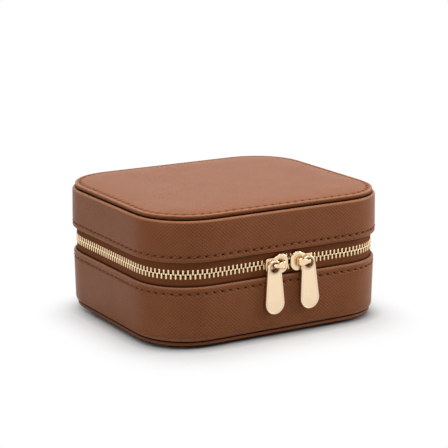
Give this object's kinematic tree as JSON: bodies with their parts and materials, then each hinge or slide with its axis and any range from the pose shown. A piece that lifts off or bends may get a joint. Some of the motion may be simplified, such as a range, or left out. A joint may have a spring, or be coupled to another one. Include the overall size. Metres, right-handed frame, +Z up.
{
  "type": "jewellery case",
  "caption": "Rounded leather jewellery case with a padded lid on a leather hinge, a two-way metal zip with hanging pulls, and a velvet inside with ring rolls, trays and a mirror.",
  "frame": {"origin": "middle of the case's footprint, on the surface it stands on", "axes": "+X along the width, to the right when facing the zip pulls; -Y towards the pulls; +Z up"},
  "size_m": [0.15, 0.1344, 0.0738],
  "materials": {
    "leather": "cross-grained, satin",
    "board": "pressed board, matt",
    "velvet": "short velvet pile",
    "velvet_roll": "short velvet pile over foam",
    "foam": "open-cell foam sheet",
    "zip_tape": "woven",
    "zip_teeth": "polished pale gold",
    "zip_metal": "satin pale gold",
    "mirror_glass": "silvered glass"
  },
  "bodies": {
    "base": {"base_leather_wall": "leather", "bottom_panel": "leather", "base_filler_card": "board", "base_frame": "board", "base_floor_board": "board", "base_lining": "velvet", "cross_divider": "velvet", "centre_divider": "velvet", "ring_roll_1": "velvet_roll", "ring_roll_2": "velvet_roll", "ring_roll_3": "velvet_roll", "ring_roll_4": "velvet_roll", "ring_roll_5": "velvet_roll", "ring_roll_6": "velvet_roll", "ring_roll_7": "velvet_roll", "ring_roll_8": "velvet_roll", "lower_zip_tape": "zip_tape", "lower_zip_teeth": "zip_teeth", "hinge_strip": "leather", "hinge_lining": "velvet"},
    "lid": {"lid_leather_wall": "leather", "top_panel": "leather", "lid_padding": "foam", "lid_frame": "board", "lid_top_board": "board", "lid_lining": "velvet", "mirror_frame": "velvet", "mirror": "mirror_glass", "upper_zip_tape": "zip_tape", "upper_zip_teeth": "zip_teeth"},
    "left_slider": {"left_slider_body": "zip_metal", "left_slider_bridge": "zip_metal"},
    "left_pull": {"left_pull_tab": "zip_metal"},
    "right_slider": {"right_slider_body": "zip_metal", "right_slider_bridge": "zip_metal"},
    "right_pull": {"right_pull_tab": "zip_metal"}
  },
  "joints": [
    {"name": "lid_hinge", "type": "hinge", "parent": "base", "child": "lid", "pos_m": [0, 0.06265, 0.04095], "axis": [-1, 0, 0], "range_deg": [0, 135], "deforming": ["hinge_strip", "hinge_lining"]},
    {"name": "left_slider_slide", "type": "slide", "parent": "base", "child": "left_slider", "axis": [-1, 0, 0], "range_m": [0, 0.032], "deforming": ["lower_zip_teeth", "upper_zip_teeth"]},
    {"name": "right_slider_slide", "type": "slide", "parent": "base", "child": "right_slider", "axis": [1, 0, 0], "range_m": [0, 0.0252], "deforming": ["lower_zip_teeth", "upper_zip_teeth"]},
    {"name": "left_pull_swing", "type": "hinge", "parent": "left_slider", "child": "left_pull", "pos_m": [-0.00735, -0.06665, 0.04095], "axis": [0, 1, 0], "range_deg": [-8, 180]},
    {"name": "right_pull_swing", "type": "hinge", "parent": "right_slider", "child": "right_pull", "pos_m": [0.01445, -0.06665, 0.04095], "axis": [0, -1, 0], "range_deg": [-13, 176]}
  ]
}
